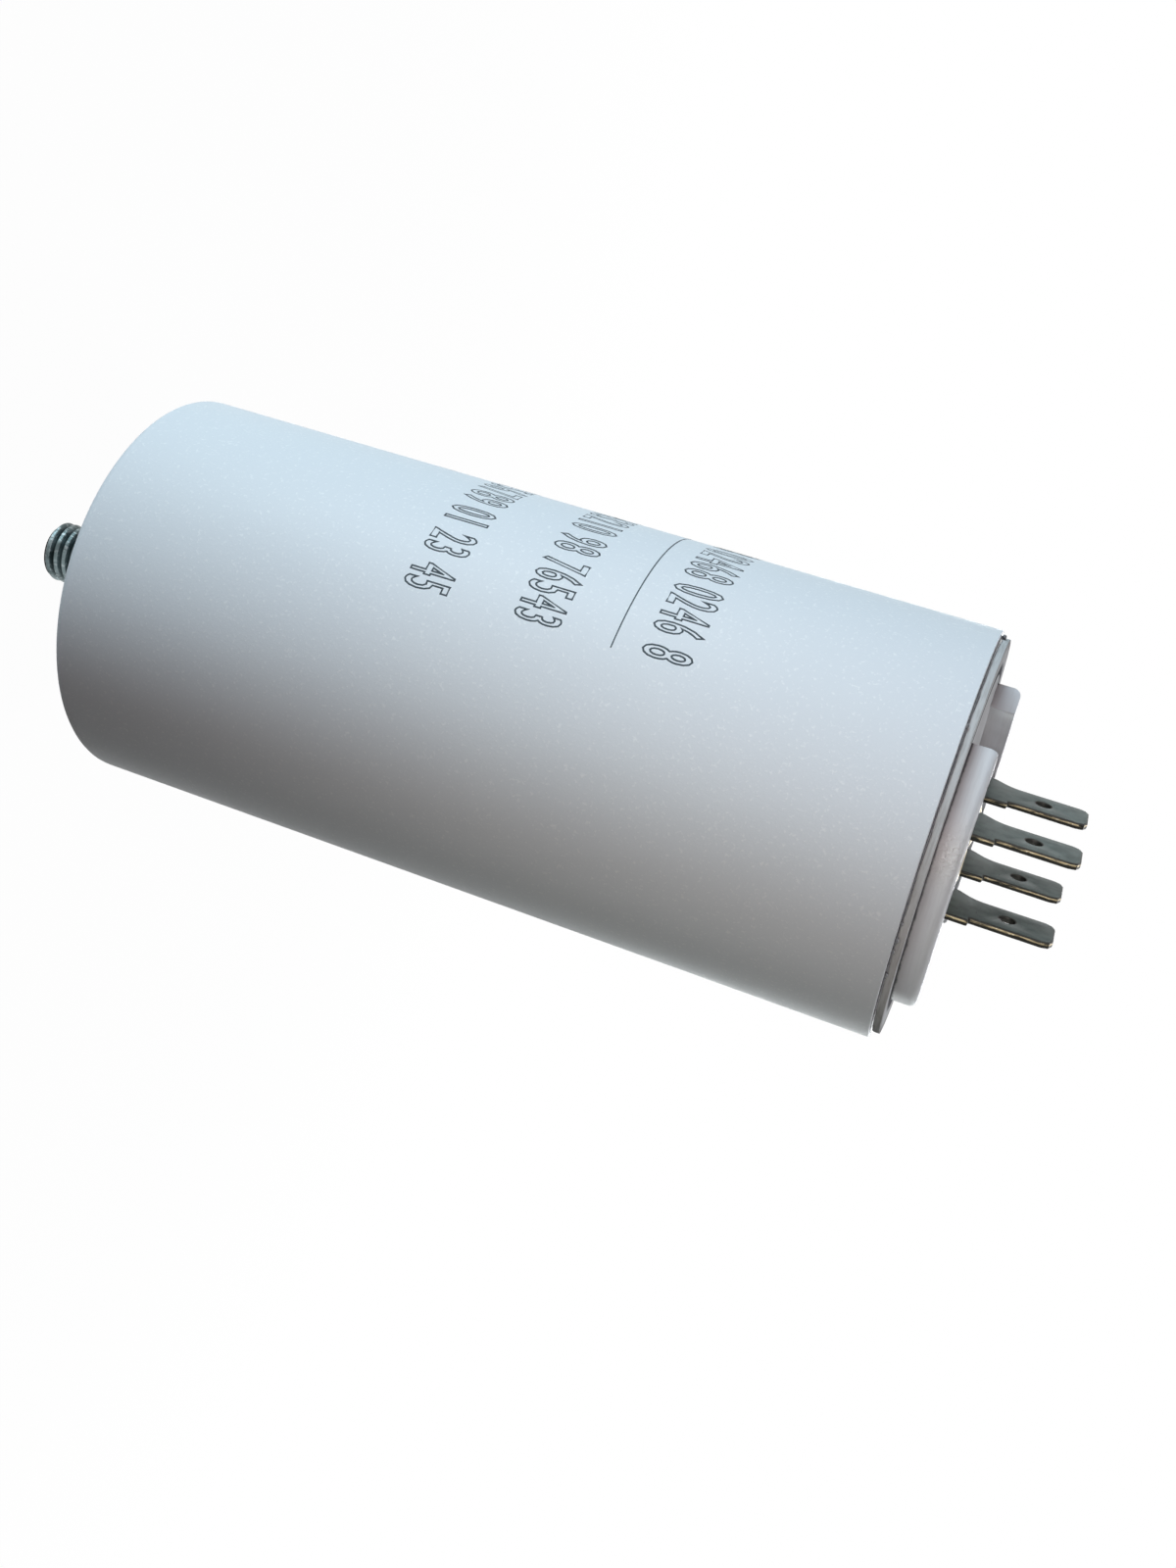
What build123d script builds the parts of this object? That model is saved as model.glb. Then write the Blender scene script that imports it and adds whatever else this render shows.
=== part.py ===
"""Motor-run film capacitor in a moulded plastic can.

Millimetres. +Z runs along the can's axis, from the fixing stud towards the terminals. The origin is the centre
of the can's base face, where the stud leaves it. The two terminals stand side by side along X.
"""

from build123d import *
import os
from math import radians, tan

os.makedirs("parts", exist_ok=True)

# Can: a deep cup, moulded round the stud's head
can_diameter = 50.0
can_height = 105.0
can_wall = 1.8
base_thickness = 3.0
base_corner_radius = 1.2
base_inner_chamfer = 1.2
rim_chamfer = 0.4
boss_diameter = 20.0
boss_height = 6.0
boss_draft_angle = 3.0
rib_height = 8.5
rib_thickness = 1.5
rib_count = 6
rib_first_angle = 30.0

# Fixing stud: M8, with a hexagonal head inside the base
stud_diameter = 8.0
stud_length = 18.0
stud_tip_chamfer = 1.0
stud_neck_diameter = 7.1
stud_head_across_flats = 13.0
stud_head_thickness = 4.0
stud_head_depth = 1.2
stud_relief_clearance = 0.6
stud_relief_depth = 0.6

# Lid: flange, plate, skirt, ring wall and terminal seats
glue_thickness = 0.2
glue_inset = 1.0
flange_inset = 0.8
flange_thickness = 0.8
flange_edge_chamfer = 0.2
lid_thickness = 2.45
skirt_depth = 5.5
skirt_wall = 1.5
skirt_clearance = 0.15
ring_outer_radius = 20.2
ring_wall = 3.1
ring_height = 3.0
ring_outer_edge_radius = 1.0
ring_inner_edge_chamfer = 0.3
ring_gap_angle = 72.5
ring_gap_turn = 4.25
seat_height = 1.35
seat_margin = 0.6
guide_rib_thickness = 1.0
guide_rib_height = 0.7
guide_rib_clearance = 0.1

# Terminals: each is one strip of sheet, bent to a U with two blades
terminal_spacing = 15.5
blade_spacing = 9.7
blade_width = 6.3
sheet_thickness = 0.8
bend_inner_radius = 0.8
blade_tip_height = 15.9
shoulder_height = 6.5
hole_to_tip = 5.4
blade_hole_diameter = 1.9
tip_chamfer = 1.35
tip_edge_chamfer = 0.25
outer_shoulder = 1.0
inner_shoulder = 1.7
inner_shoulder_radius = 1.6
outer_shoulder_radius = 0.3

# Rivets and solder lugs
rivet_shank_diameter = 3.2
rivet_head_diameter = 6.0
rivet_head_height = 1.1
rivet_tail_diameter = 5.0
rivet_tail_height = 0.8
rivet_bore_diameter = 1.8
lug_diameter = 7.4
lug_thickness = 0.6
lug_tongue_width = 4.0
lug_reach = 6.3

# Film roll and what joins it to the lugs
core_diameter = 10.0
core_bore = 7.0
core_overhang = 1.2
roll_gap = 1.2
roll_headroom = 10.4
end_metal_thickness = 0.8
wire_diameter = 1.2
wire_bend_radius = 2.4
wire_drop = 0.8
sleeve_wall = 0.5
sleeve_end_gap = 2.0
crossover_height = 4.6
joint_base_diameter = 5.0
joint_height = 1.9
joint_slope_angle = 25.0
resin_cover = 2.6

# Places that follow from the sizes above
can_radius = can_diameter / 2
cavity_radius = can_radius - can_wall
roll_seat = base_thickness + rib_height
roll_bottom = roll_seat + end_metal_thickness
roll_radius = cavity_radius - roll_gap
lower_joint_radius = roll_radius / 2
core_radius = core_diameter / 2
flange_bottom = can_height + glue_thickness
flange_top = flange_bottom + flange_thickness
plate_bottom = flange_top - lid_thickness
upper_metal_top = plate_bottom - roll_headroom
roll_top = upper_metal_top - end_metal_thickness
flange_radius = can_radius - flange_inset
skirt_radius = cavity_radius - skirt_clearance
seat_top = flange_top + seat_height
tip_z = can_height + blade_tip_height
shoulder_z = can_height + shoulder_height
hole_z = tip_z - hole_to_tip
terminal_x = terminal_spacing / 2
lug_hole_x = terminal_x + lug_reach
resin_top = upper_metal_top + resin_cover


def finish_piece(piece, name):
    """Label a finished piece and write its file."""
    piece.label = name
    export_step(piece, f"parts/{name}.step")


# Fixing stud
with BuildPart() as fixing_stud:
    with BuildSketch(Plane.XY.offset(stud_head_depth)):
        RegularPolygon(stud_head_across_flats / 2, 6, major_radius=False)
    extrude(amount=stud_head_thickness)
    with BuildSketch(Plane.XY):
        Circle(stud_neck_diameter / 2)
    extrude(amount=stud_head_depth)
    with BuildSketch(Plane.XY):
        Circle(stud_diameter / 2)
    extrude(amount=-stud_length)
    tip_edge = fixing_stud.edges().filter_by(GeomType.CIRCLE).sort_by(Axis.Z)[0]
    chamfer(tip_edge, stud_tip_chamfer)
finish_piece(fixing_stud.part, "fixing_stud")

# Can, with the boss round the stud's head and the ribs that the roll stands on
with BuildPart() as can:
    with BuildSketch(Plane.XY):
        Circle(can_radius)
    extrude(amount=can_height)
    fillet(can.faces().sort_by(Axis.Z)[0].edges(), base_corner_radius)
    with BuildSketch(Plane.XY.offset(base_thickness)):
        Circle(cavity_radius)
    extrude(amount=can_height - base_thickness, mode=Mode.SUBTRACT)
    floor_edge = can.faces().filter_by(Plane.XY).sort_by(Axis.Z)[1].edges()
    chamfer(floor_edge, base_inner_chamfer)
    rim_edge = can.edges().filter_by(GeomType.CIRCLE).group_by(Axis.Z)[-1].sort_by(SortBy.RADIUS)[0]
    chamfer(rim_edge, rim_chamfer)
    with BuildSketch(Plane.XY.offset(base_thickness)):
        Circle(boss_diameter / 2)
    extrude(amount=boss_height, taper=boss_draft_angle)
    with BuildSketch(Plane.XY.offset(base_thickness)):
        rib_run = cavity_radius - core_radius
        with PolarLocations((cavity_radius + core_radius) / 2, rib_count, start_angle=rib_first_angle):
            Rectangle(rib_run, rib_thickness)
    extrude(amount=rib_height)
    with BuildSketch(Plane.XY):
        Circle(stud_diameter / 2 + stud_relief_clearance)
    extrude(amount=stud_relief_depth, mode=Mode.SUBTRACT)
    add(fixing_stud.part, mode=Mode.SUBTRACT)
finish_piece(can.part, "can")

# Lid: one moulding
with BuildPart() as lid:
    with BuildSketch(Plane.XY.offset(flange_bottom)):
        Circle(flange_radius)
    extrude(amount=flange_thickness)
    chamfer(lid.faces().sort_by(Axis.Z)[-1].edges(), flange_edge_chamfer)
    with BuildSketch(Plane.XY.offset(flange_bottom)):
        Circle(skirt_radius)
    extrude(amount=-(flange_bottom - plate_bottom))
    with BuildSketch(Plane.XY.offset(plate_bottom)):
        Circle(skirt_radius)
        Circle(skirt_radius - skirt_wall, mode=Mode.SUBTRACT)
    extrude(amount=-skirt_depth)
    # The ring wall is open on both sides of the blades, for the connectors
    with BuildSketch(Plane.XY.offset(flange_top)):
        Circle(ring_outer_radius)
        Circle(ring_outer_radius - ring_wall, mode=Mode.SUBTRACT)
        gap_half_width = can_radius * tan(radians(ring_gap_angle / 2))
        with PolarLocations(0, 2, start_angle=ring_gap_turn):
            Polygon(
                (0, 0),
                (gap_half_width, can_radius),
                (-gap_half_width, can_radius),
                align=(Align.NONE, Align.NONE),
                mode=Mode.SUBTRACT,
            )
    extrude(amount=ring_height)
    top_edges = lid.faces().sort_by(Axis.Z)[-2:].edges().filter_by(GeomType.CIRCLE)
    fillet(top_edges.filter_by(lambda edge: abs(edge.radius - ring_outer_radius) < 0.01), ring_outer_edge_radius)
    top_edges = lid.faces().sort_by(Axis.Z)[-2:].edges().filter_by(GeomType.CIRCLE)
    inner_edges = top_edges.filter_by(lambda edge: edge.radius < ring_outer_radius - ring_wall + 0.01)
    chamfer(inner_edges, ring_inner_edge_chamfer)
    # Seats with guide ribs that stop the terminals from turning
    seat_width = blade_width + outer_shoulder + inner_shoulder
    seat_length = blade_spacing + sheet_thickness
    seat_shift = (outer_shoulder - inner_shoulder) / 2
    with BuildSketch(Plane.XY.offset(flange_top)):
        with Locations((terminal_x + seat_shift, 0), (-terminal_x + seat_shift, 0)):
            Rectangle(seat_width, seat_length + 2 * seat_margin)
    extrude(amount=seat_height)
    with BuildSketch(Plane.XY.offset(flange_top)):
        rib_offset = (seat_width + guide_rib_thickness) / 2 + guide_rib_clearance
        for middle in (terminal_x + seat_shift, -terminal_x + seat_shift):
            with Locations((middle + rib_offset, 0), (middle - rib_offset, 0)):
                Rectangle(guide_rib_thickness, blade_spacing - 2 * bend_inner_radius)
    extrude(amount=seat_height + guide_rib_height)
    with BuildSketch(Plane.XY.offset(plate_bottom)):
        with Locations((terminal_x, 0), (-terminal_x, 0)):
            Circle(rivet_shank_diameter / 2)
    extrude(amount=seat_top - plate_bottom, mode=Mode.SUBTRACT)
finish_piece(lid.part, "lid")

# Glue between the can's rim and the flange
with BuildPart() as seam_glue:
    with BuildSketch(Plane.XY.offset(can_height)):
        Circle(can_radius - glue_inset)
        Circle(cavity_radius + rim_chamfer, mode=Mode.SUBTRACT)
    extrude(amount=glue_thickness)
finish_piece(seam_glue.part, "seam_glue")


def terminal_piece(middle_x):
    """Two blades on one foot: a bent U, then cut to the outline that the blank had."""
    half_span = blade_spacing / 2
    with BuildPart() as terminal:
        with BuildSketch(Plane.YZ.offset(middle_x)):
            with BuildLine():
                strip = FilletPolyline(
                    (-half_span, tip_z),
                    (-half_span, seat_top + sheet_thickness / 2),
                    (half_span, seat_top + sheet_thickness / 2),
                    (half_span, tip_z),
                    radius=bend_inner_radius + sheet_thickness / 2,
                )
                offset(strip, sheet_thickness / 2, side=Side.BOTH)
            make_face()
        extrude(amount=blade_width, both=True)
        with BuildSketch(Plane.XZ) as outline:
            left = middle_x - blade_width / 2
            right = middle_x + blade_width / 2
            with BuildLine():
                Polyline(
                    (left - inner_shoulder, seat_top),
                    (right + outer_shoulder, seat_top),
                    (right + outer_shoulder, shoulder_z),
                    (right, shoulder_z),
                    (right, tip_z),
                    (left, tip_z),
                    (left, shoulder_z),
                    (left - inner_shoulder, shoulder_z - 2 * inner_shoulder_radius),
                    close=True,
                )
            make_face()
            chamfer(outline.vertices().group_by(Axis.Y)[-1], tip_chamfer)
            shoulder_corner = outline.vertices().filter_by_position(Axis.Y, shoulder_z - 0.01, shoulder_z + 0.01)
            fillet(shoulder_corner.sort_by(Axis.X)[1], outer_shoulder_radius)
            fillet(shoulder_corner.sort_by(Axis.X)[0], inner_shoulder_radius)
            with Locations((middle_x, hole_z)):
                Circle(blade_hole_diameter / 2, mode=Mode.SUBTRACT)
        extrude(amount=blade_spacing, both=True, mode=Mode.INTERSECT)
        tip_faces = terminal.faces().filter_by(Plane.XY).group_by(Axis.Z)[-1]
        chamfer(tip_faces.edges().filter_by(Axis.X), tip_edge_chamfer)
        with BuildSketch(Plane.XY.offset(seat_top)):
            with Locations((middle_x, 0)):
                Circle(rivet_shank_diameter / 2)
        extrude(amount=sheet_thickness, mode=Mode.SUBTRACT)
    return terminal.part


def rivet_piece(middle_x):
    """Bevelled head on the terminal, flared and bored tail under the lug."""
    head_bottom = seat_top + sheet_thickness
    tail_top = plate_bottom - lug_thickness
    with BuildPart() as rivet:
        with BuildSketch(Plane.XY.offset(tail_top)):
            with Locations((middle_x, 0)):
                Circle(rivet_shank_diameter / 2)
        extrude(amount=head_bottom - tail_top)
        with BuildSketch(Plane.XY.offset(head_bottom)):
            with Locations((middle_x, 0)):
                Circle(rivet_head_diameter / 2)
        extrude(amount=rivet_head_height)
        head_edge = rivet.faces().sort_by(Axis.Z)[-1].edges()
        chamfer(head_edge, rivet_head_height * 0.6, rivet_head_height * 0.9)
        with BuildSketch(Plane.XY.offset(tail_top)):
            with Locations((middle_x, 0)):
                Circle(rivet_tail_diameter / 2)
        extrude(amount=-rivet_tail_height)
        chamfer(rivet.faces().sort_by(Axis.Z)[0].edges(), rivet_tail_height / 2)
        with BuildSketch(Plane.XY.offset(tail_top - rivet_tail_height)):
            with Locations((middle_x, 0)):
                Circle(rivet_bore_diameter / 2)
        extrude(amount=rivet_tail_height + lid_thickness / 2, mode=Mode.SUBTRACT)
    return rivet.part


def lug_piece(side):
    """Ring under the rivet, with a tongue that takes the wire."""
    with BuildPart() as lug:
        with BuildSketch(Plane.XY.offset(plate_bottom)):
            with Locations((side * terminal_x, 0)):
                Circle(lug_diameter / 2)
            with Locations((side * (terminal_x + lug_hole_x) / 2, 0)):
                Rectangle(lug_reach, lug_tongue_width)
            with Locations((side * lug_hole_x, 0)):
                Circle(lug_tongue_width / 2)
                Circle(wire_diameter / 2, mode=Mode.SUBTRACT)
            with Locations((side * terminal_x, 0)):
                Circle(rivet_shank_diameter / 2, mode=Mode.SUBTRACT)
        extrude(amount=-lug_thickness)
    return lug.part


for pole, side in (("a", 1), ("b", -1)):
    finish_piece(terminal_piece(side * terminal_x), f"terminal_{pole}")
    finish_piece(rivet_piece(side * terminal_x), f"rivet_{pole}")
    finish_piece(lug_piece(side), f"solder_lug_{pole}")

# Film roll on its core, with sprayed metal on both ends
with BuildPart() as winding_core:
    with BuildSketch(Plane.XY.offset(roll_seat)):
        Circle(core_radius)
        Circle(core_bore / 2, mode=Mode.SUBTRACT)
    extrude(amount=upper_metal_top + core_overhang - roll_seat)
finish_piece(winding_core.part, "winding_core")

with BuildPart() as film_winding:
    with BuildSketch(Plane.XY.offset(roll_bottom)):
        Circle(roll_radius)
        Circle(core_radius, mode=Mode.SUBTRACT)
    extrude(amount=roll_top - roll_bottom)
finish_piece(film_winding.part, "film_winding")


def end_metal_piece(bottom):
    """A thin ring of sprayed metal over the ends of the turns."""
    with BuildPart() as end_metal:
        with BuildSketch(Plane.XY.offset(bottom)):
            Circle(roll_radius)
            Circle(core_radius, mode=Mode.SUBTRACT)
        extrude(amount=end_metal_thickness)
    return end_metal.part


end_metal_upper = end_metal_piece(roll_top)
finish_piece(end_metal_upper, "end_metal_upper")
end_metal_lower = end_metal_piece(roll_seat)
finish_piece(end_metal_lower, "end_metal_lower")

# Wires: one straight up to lug a, one through the core and across to lug b
with BuildPart() as lead_upper:
    with BuildSketch(Plane.XY.offset(upper_metal_top)):
        with Locations((lug_hole_x, 0)):
            Circle(wire_diameter / 2)
    extrude(amount=plate_bottom - upper_metal_top)
finish_piece(lead_upper.part, "lead_upper")

lower_wire_z = roll_seat - wire_drop
crossover_z = upper_metal_top + core_overhang + crossover_height
with BuildPart() as lead_lower:
    with BuildLine() as lower_route:
        FilletPolyline(
            (-lower_joint_radius, 0, lower_wire_z),
            (0, 0, lower_wire_z),
            (0, 0, crossover_z),
            (-lug_hole_x, 0, crossover_z),
            (-lug_hole_x, 0, plate_bottom),
            radius=wire_bend_radius,
        )
    with BuildSketch(Plane(origin=(-lower_joint_radius, 0, lower_wire_z), z_dir=(1, 0, 0))):
        Circle(wire_diameter / 2)
    sweep(path=lower_route.line)
finish_piece(lead_lower.part, "lead_lower")

with BuildPart() as lead_sleeve:
    with BuildSketch(Plane.XY.offset(lower_wire_z + wire_bend_radius + sleeve_end_gap)):
        Circle(wire_diameter / 2 + sleeve_wall)
        Circle(wire_diameter / 2, mode=Mode.SUBTRACT)
    extrude(amount=crossover_z - lower_wire_z - 2 * (wire_bend_radius + sleeve_end_gap))
finish_piece(lead_sleeve.part, "lead_sleeve")


def solder_joint_piece(place_x, face_z, up, wire):
    """A cone of solder on an end metal, round its wire."""
    with BuildPart() as joint:
        with BuildSketch(Plane.XY.offset(face_z)):
            with Locations((place_x, 0)):
                Circle(joint_base_diameter / 2)
        extrude(amount=up * joint_height, taper=joint_slope_angle)
        add(wire, mode=Mode.SUBTRACT)
    return joint.part


solder_joint_upper = solder_joint_piece(lug_hole_x, upper_metal_top, 1, lead_upper.part)
finish_piece(solder_joint_upper, "solder_joint_upper")
solder_joint_lower = solder_joint_piece(-lower_joint_radius, roll_seat, -1, lead_lower.part)
finish_piece(solder_joint_lower, "solder_joint_lower")

# Resin fills the can up to a level over the roll, and the bore of the core
with BuildPart() as potting_resin:
    with BuildSketch(Plane.XY.offset(base_thickness)):
        Circle(cavity_radius)
    extrude(amount=resin_top - base_thickness)
    roll_pieces = [winding_core.part, film_winding.part, end_metal_upper, end_metal_lower]
    wire_pieces = [lead_upper.part, lead_lower.part, lead_sleeve.part, solder_joint_upper, solder_joint_lower]
    for inner_piece in [can.part, fixing_stud.part] + roll_pieces + wire_pieces:
        add(inner_piece, mode=Mode.SUBTRACT)
finish_piece(potting_resin.part, "potting_resin")
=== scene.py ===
# %% [markdown]
# This file dresses a motor-run film capacitor: a white moulded can with a threaded stud at one end and
# a lid with four blade terminals at the other. The CAD model gives every size and place, so it is
# loaded first and is never changed. Each piece that is seen is then given its real finish, or is
# modelled again with the small rounded edges, threads and marks that the CAD model leaves out.

# %% Load the CAD model
from math import atan2, cos, degrees, radians, sin

import bmesh
import bpy
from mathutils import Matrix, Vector


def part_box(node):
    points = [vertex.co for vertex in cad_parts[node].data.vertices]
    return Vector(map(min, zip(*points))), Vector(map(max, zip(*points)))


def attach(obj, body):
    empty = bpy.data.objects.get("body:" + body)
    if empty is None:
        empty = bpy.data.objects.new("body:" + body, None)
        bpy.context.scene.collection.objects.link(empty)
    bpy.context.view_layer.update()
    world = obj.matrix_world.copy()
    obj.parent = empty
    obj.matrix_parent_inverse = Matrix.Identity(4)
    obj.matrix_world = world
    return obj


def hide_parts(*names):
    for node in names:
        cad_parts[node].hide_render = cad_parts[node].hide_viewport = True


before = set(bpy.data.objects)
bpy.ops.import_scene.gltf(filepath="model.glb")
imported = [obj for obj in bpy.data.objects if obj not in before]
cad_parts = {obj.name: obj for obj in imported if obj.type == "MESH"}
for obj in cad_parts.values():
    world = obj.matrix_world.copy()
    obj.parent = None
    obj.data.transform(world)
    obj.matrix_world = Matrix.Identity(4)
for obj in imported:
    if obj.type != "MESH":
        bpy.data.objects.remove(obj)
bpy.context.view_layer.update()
print("CAD nodes:", len(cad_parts))

# %% [markdown]
# Blender counts in metres and this object is measured in millimetres, so one named factor turns one
# into the other. The helpers below are the few moves that every piece needs: hold one piece alone,
# select a part of its mesh by place, add a modifier and apply it. Selecting by place in code is what a
# click does by hand.

# %% Helpers for modelling
MM = 0.001


def hold(piece):
    """Select one piece and nothing else, because an operator acts on all that is selected."""
    if bpy.context.object and bpy.context.object.mode == "EDIT":
        bpy.ops.object.mode_set(mode="OBJECT")
    bpy.ops.object.select_all(action="DESELECT")
    piece.select_set(True)
    bpy.context.view_layer.objects.active = piece


def clear_hands():
    """Leave edit mode and deselect everything before a primitive is added."""
    if bpy.context.object and bpy.context.object.mode == "EDIT":
        bpy.ops.object.mode_set(mode="OBJECT")
    bpy.ops.object.select_all(action="DESELECT")


def take_up(name):
    """Name the primitive that was just added and move its place into its mesh."""
    piece = bpy.context.object
    piece.name = name
    piece.data.name = name
    bpy.ops.object.transform_apply(location=True, rotation=True, scale=True)
    return piece


def middle(item):
    """The middle of a vertex, edge or face, in millimetres."""
    if isinstance(item, bmesh.types.BMVert):
        return item.co / MM
    if isinstance(item, bmesh.types.BMEdge):
        return (item.verts[0].co + item.verts[1].co) / 2 / MM
    return item.calc_center_median() / MM


def pick(piece, kind, wanted):
    """Enter edit mode and select the vertices, edges or faces that the test wants."""
    hold(piece)
    bpy.ops.object.mode_set(mode="EDIT")
    bpy.ops.mesh.select_mode(type=kind)
    bpy.ops.mesh.select_all(action="DESELECT")
    shape = bmesh.from_edit_mesh(piece.data)
    items = {"VERT": shape.verts, "EDGE": shape.edges, "FACE": shape.faces}[kind]
    found = [item for item in items if wanted(item)]
    for item in found:
        item.select_set(True)
    bmesh.update_edit_mesh(piece.data)
    return len(found)


def pick_all(piece):
    """Enter edit mode with the whole mesh selected."""
    hold(piece)
    bpy.ops.object.mode_set(mode="EDIT")
    bpy.ops.mesh.select_mode(type="VERT")
    bpy.ops.mesh.select_all(action="SELECT")


def modify(piece, kind, **settings):
    """Add a modifier, set it and apply it."""
    hold(piece)
    modifier = piece.modifiers.new(kind.lower(), kind)
    for setting, value in settings.items():
        setattr(modifier, setting, value)
    bpy.ops.object.modifier_apply(modifier=modifier.name)


def combine(piece, other, operation):
    """Join, cut or intersect with another piece, which is then used up."""
    modify(piece, "BOOLEAN", operation=operation, object=other, solver="EXACT")
    bpy.data.objects.remove(other)


def tidy_mesh(piece):
    """Merge doubles and turn every face outwards."""
    pick_all(piece)
    bpy.ops.mesh.remove_doubles(threshold=0.002 * MM)
    bpy.ops.mesh.normals_make_consistent(inside=False)
    bpy.ops.object.mode_set(mode="OBJECT")


def soften(piece, width, angle=40, segments=2, material=-1):
    """Round the sharp edges, then smooth all that is flatter."""
    modify(
        piece,
        "BEVEL",
        width=width * MM,
        segments=segments,
        limit_method="ANGLE",
        angle_limit=radians(angle),
        material=material,
        miter_outer="MITER_ARC",
    )
    bpy.ops.object.shade_smooth_by_angle(angle=radians(30))


def draw_line(name, corners):
    """Draw a line of edges in the XZ plane, as by hand: one point, extruded from corner to corner."""
    clear_hands()
    start_x, start_z = corners[0]
    bpy.ops.mesh.primitive_plane_add(size=MM, location=(start_x * MM, 0, start_z * MM))
    piece = take_up(name)
    pick_all(piece)
    bpy.ops.mesh.merge(type="CENTER")
    for (here_x, here_z), (there_x, there_z) in zip(corners, corners[1:]):
        step = ((there_x - here_x) * MM, 0, (there_z - here_z) * MM)
        bpy.ops.mesh.extrude_vertices_move(TRANSFORM_OT_translate={"value": step})
    return piece


def turn(piece, steps):
    """Spin the drawn line right round the can's axis."""
    pick_all(piece)
    bpy.ops.mesh.spin(steps=steps, angle=radians(360), center=(0, 0, 0), axis=(0, 0, 1))
    tidy_mesh(piece)


def say(piece):
    """Print what was made."""
    print(piece.name, "has", len(piece.data.polygons), "faces")


# %% [markdown]
# Finishes are made of nodes. A small class wraps one socket, so that the maths between sockets is
# written with ordinary signs, and a second class holds one material with the few textures that every
# finish here is mixed from. All of them read Object coordinates, so a pattern has its real size in
# millimetres and stays on its piece.

# %% Helpers for materials


class Wire:
    """One output of a node, which Python's signs can work on."""

    def __init__(self, tree, socket):
        self.tree = tree
        self.socket = socket

    def maths(self, operation, first, second):
        return add_node(
            self.tree, "ShaderNodeMath", {"operation": operation}, {"Value": first, "Value_001": second}
        )

    def __add__(self, other):
        return self.maths("ADD", self, other)

    def __radd__(self, other):
        return self.maths("ADD", other, self)

    def __sub__(self, other):
        return self.maths("SUBTRACT", self, other)

    def __rsub__(self, other):
        return self.maths("SUBTRACT", other, self)

    def __mul__(self, other):
        return self.maths("MULTIPLY", self, other)

    def __rmul__(self, other):
        return self.maths("MULTIPLY", other, self)


def add_node(tree, kind, settings, inputs, output=0):
    """Add a node, set it, fill or link its sockets and return one of its outputs."""
    made = tree.nodes.new(kind)
    for setting, value in settings.items():
        setattr(made, setting, value)
    sockets = {socket.identifier: socket for socket in made.inputs}
    for name, value in inputs.items():
        if isinstance(value, Wire):
            tree.links.new(value.socket, sockets[name])
        else:
            sockets[name].default_value = value
    if not made.outputs:
        return None
    outputs = {socket.identifier: socket for socket in made.outputs}
    return Wire(tree, outputs[output] if isinstance(output, str) else made.outputs[output])


class Finish:
    """One material and the textures that it is mixed from. Sizes are in millimetres."""

    def __init__(self, name):
        self.material = bpy.data.materials.new(name)
        self.material.use_nodes = True
        self.tree = self.material.node_tree
        self.tree.nodes.clear()
        self.place = self.node("ShaderNodeTexCoord", {}, {}, "Object")

    def node(self, kind, settings, inputs, output=0):
        return add_node(self.tree, kind, settings, inputs, output)

    def mottle(self, size, detail=3, stretch=(1, 1, 1)):
        """Soft random patches of about this size, from 0 to 1, which can be pulled out along some axes."""
        squeeze = tuple(1 / amount for amount in stretch)
        stretched = self.node(
            "ShaderNodeVectorMath", {"operation": "MULTIPLY"}, {"Vector": self.place, "Vector_001": squeeze}
        )
        inputs = {"Vector": stretched, "Scale": 1 / (size * MM), "Detail": detail}
        return self.node("ShaderNodeTexNoise", {}, inputs, "Fac")

    def step(self, value, low, high):
        """0 below low, 1 above high, and smooth between."""
        return self.node(
            "ShaderNodeMapRange",
            {"interpolation_type": "SMOOTHSTEP"},
            {"Value": value, "From Min": low, "From Max": high, "To Min": 0.0, "To Max": 1.0},
        )

    def specks(self, spacing, radius, share):
        """Small round dots, of which only a share of the cells has one."""
        inputs = {"Vector": self.place, "Scale": 1 / (spacing * MM)}
        distance = self.node("ShaderNodeTexVoronoi", {}, inputs, "Distance")
        chance = self.node("ShaderNodeTexVoronoi", {}, inputs, "Color")
        chosen = self.node("ShaderNodeSeparateColor", {}, {"Color": chance}, "Red")
        edge = radius / spacing
        return (1 - self.step(distance, edge * 0.6, edge)) * self.step(chosen, 1 - share, 1 - share + 0.001)

    def near(self, spot, radius):
        """1 at a spot on the piece, fading to 0 at this distance from it."""
        away = self.node(
            "ShaderNodeVectorMath",
            {"operation": "DISTANCE"},
            {"Vector": self.place, "Vector_001": tuple(part * MM for part in spot)},
            "Value",
        )
        return 1 - self.step(away, 0, radius * MM)

    def height(self):
        """Height along the can's axis, in millimetres."""
        return self.node("ShaderNodeSeparateXYZ", {}, {"Vector": self.place}, "Z") * (1 / MM)

    def off_axis(self):
        """Distance from the can's axis, in millimetres."""
        flat = self.node(
            "ShaderNodeVectorMath",
            {"operation": "MULTIPLY"},
            {"Vector": self.place, "Vector_001": (1, 1, 0)},
        )
        reach = self.node("ShaderNodeVectorMath", {"operation": "LENGTH"}, {"Vector": flat}, "Value")
        return reach * (1 / MM)

    def blend(self, mask, first, second):
        """The first colour where the mask is 0, the second where it is 1."""
        inputs = {"Factor_Float": mask, "A_Color": first, "B_Color": second}
        return self.node("ShaderNodeMix", {"data_type": "RGBA"}, inputs, "Result_Color")

    def bump(self, height, depth, before=None):
        """Raise the surface by depth where the height is 1."""
        inputs = {"Height": height, "Distance": depth * MM, "Strength": 1.0}
        if before:
            inputs["Normal"] = before
        return self.node("ShaderNodeBump", {}, inputs)

    def done(self, inputs):
        """End in one Principled shader and return the material."""
        surface = self.node("ShaderNodeBsdfPrincipled", {}, inputs)
        self.node("ShaderNodeOutputMaterial", {}, {"Surface": surface})
        print("finish:", self.material.name)
        return self.material


def colour(red, green, blue):
    """A colour from its red, green and blue light, with full cover."""
    return (red, green, blue, 1.0)


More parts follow.
